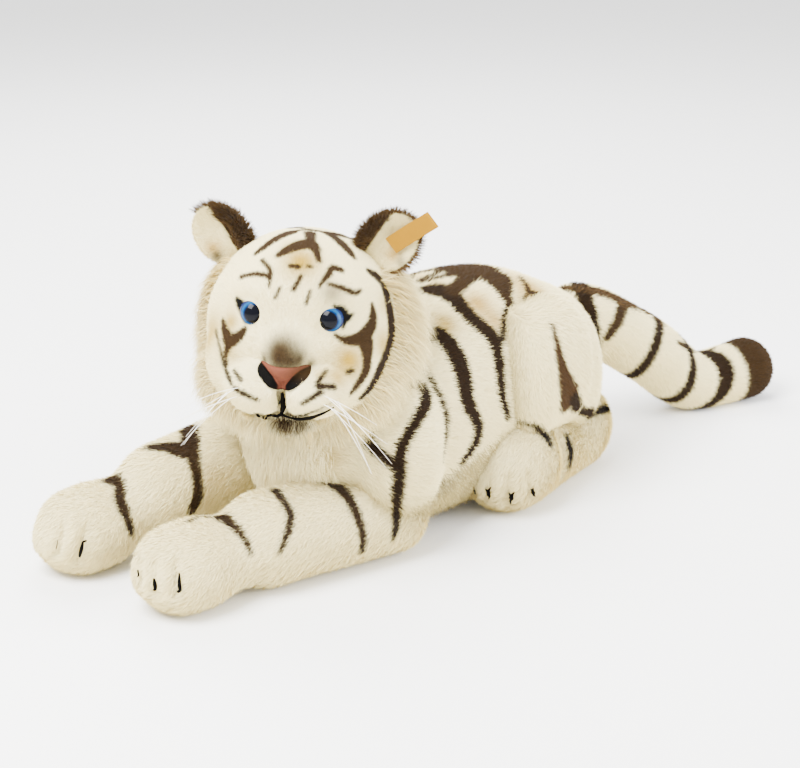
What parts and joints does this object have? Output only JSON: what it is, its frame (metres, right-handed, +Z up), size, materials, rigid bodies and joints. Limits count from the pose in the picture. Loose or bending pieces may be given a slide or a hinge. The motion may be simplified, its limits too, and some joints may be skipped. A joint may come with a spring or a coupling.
{
  "type": "plush tiger",
  "caption": "Lying plush tiger of sewn covers over fibre stuffing, with a turning head, folding ears, lifting forelegs and a swinging tail.",
  "frame": {"origin": "on the surface it lies on, under the middle of its footprint", "axes": "+Z up, the tiger faces -Y, +X is its own left side"},
  "size_m": [0.234, 0.7028, 0.2563],
  "materials": {
    "plush_white": "matte",
    "long_pile_cream": "matte",
    "plush_brown": "matte",
    "ear_lining": "matte",
    "fibre_fill": "matte",
    "eye_gloss": "gloss",
    "washer_plastic": "satin",
    "nose_pink": "matte",
    "whisker_nylon": "satin",
    "ribbon_yellow": "matte"
  },
  "bodies": {
    "torso": {"back_cover": "plush_white", "belly_panel": "long_pile_cream", "torso_stuffing": "fibre_fill", "thigh_left_cover": "plush_white", "thigh_left_stuffing": "fibre_fill", "hind_foot_left_cover": "plush_white", "hind_foot_left_stuffing": "fibre_fill", "thigh_right_cover": "plush_white", "thigh_right_stuffing": "fibre_fill", "hind_foot_right_cover": "plush_white", "hind_foot_right_stuffing": "fibre_fill"},
    "head": {"head_cover": "plush_white", "head_stuffing": "fibre_fill", "neck_ruff": "long_pile_cream", "nose": "nose_pink", "eye_left": "eye_gloss", "eye_right": "eye_gloss", "eye_washer_left": "washer_plastic", "eye_washer_right": "washer_plastic", "whiskers_left": "whisker_nylon", "whiskers_right": "whisker_nylon"},
    "ear_left": {"ear_left_back": "plush_brown", "ear_left_lining": "ear_lining", "ribbon_tab": "ribbon_yellow"},
    "ear_right": {"ear_right_back": "plush_brown", "ear_right_lining": "ear_lining"},
    "foreleg_left": {"foreleg_left_cover": "plush_white", "foreleg_left_stuffing": "fibre_fill"},
    "foreleg_right": {"foreleg_right_cover": "plush_white", "foreleg_right_stuffing": "fibre_fill"},
    "tail": {"tail_cover": "plush_white", "tail_stuffing": "fibre_fill"}
  },
  "joints": [
    {"name": "head_turn", "type": "hinge", "parent": "torso", "child": "head", "pos_m": [-0.0022, -0.17315, 0.163], "axis": [0, 0, 1], "range_deg": [-15, 15], "stiffness_Nm_per_rad": 0.25},
    {"name": "ear_left_fold", "type": "hinge", "parent": "head", "child": "ear_left", "pos_m": [0.03215, -0.14019, 0.21212], "axis": [0.559, 0.4527, -0.6947], "range_deg": [-12, 12], "stiffness_Nm_per_rad": 0.02},
    {"name": "ear_right_fold", "type": "hinge", "parent": "head", "child": "ear_right", "pos_m": [-0.03739, -0.1965, 0.21681], "axis": [0.6124, 0.4959, 0.6157], "range_deg": [-12, 12], "stiffness_Nm_per_rad": 0.02},
    {"name": "foreleg_left_lift", "type": "hinge", "parent": "torso", "child": "foreleg_left", "pos_m": [0.0468, -0.13715, 0.034], "axis": [-1, 0, 0], "range_deg": [0, 12], "stiffness_Nm_per_rad": 0.2},
    {"name": "foreleg_right_lift", "type": "hinge", "parent": "torso", "child": "foreleg_right", "pos_m": [-0.0512, -0.15115, 0.058], "axis": [-1, 0, 0], "range_deg": [0, 12], "stiffness_Nm_per_rad": 0.2},
    {"name": "tail_swing", "type": "hinge", "parent": "torso", "child": "tail", "pos_m": [-0.0022, 0.11085, 0.11], "axis": [0, 0, 1], "range_deg": [-12, 12], "stiffness_Nm_per_rad": 0.15}
  ]
}
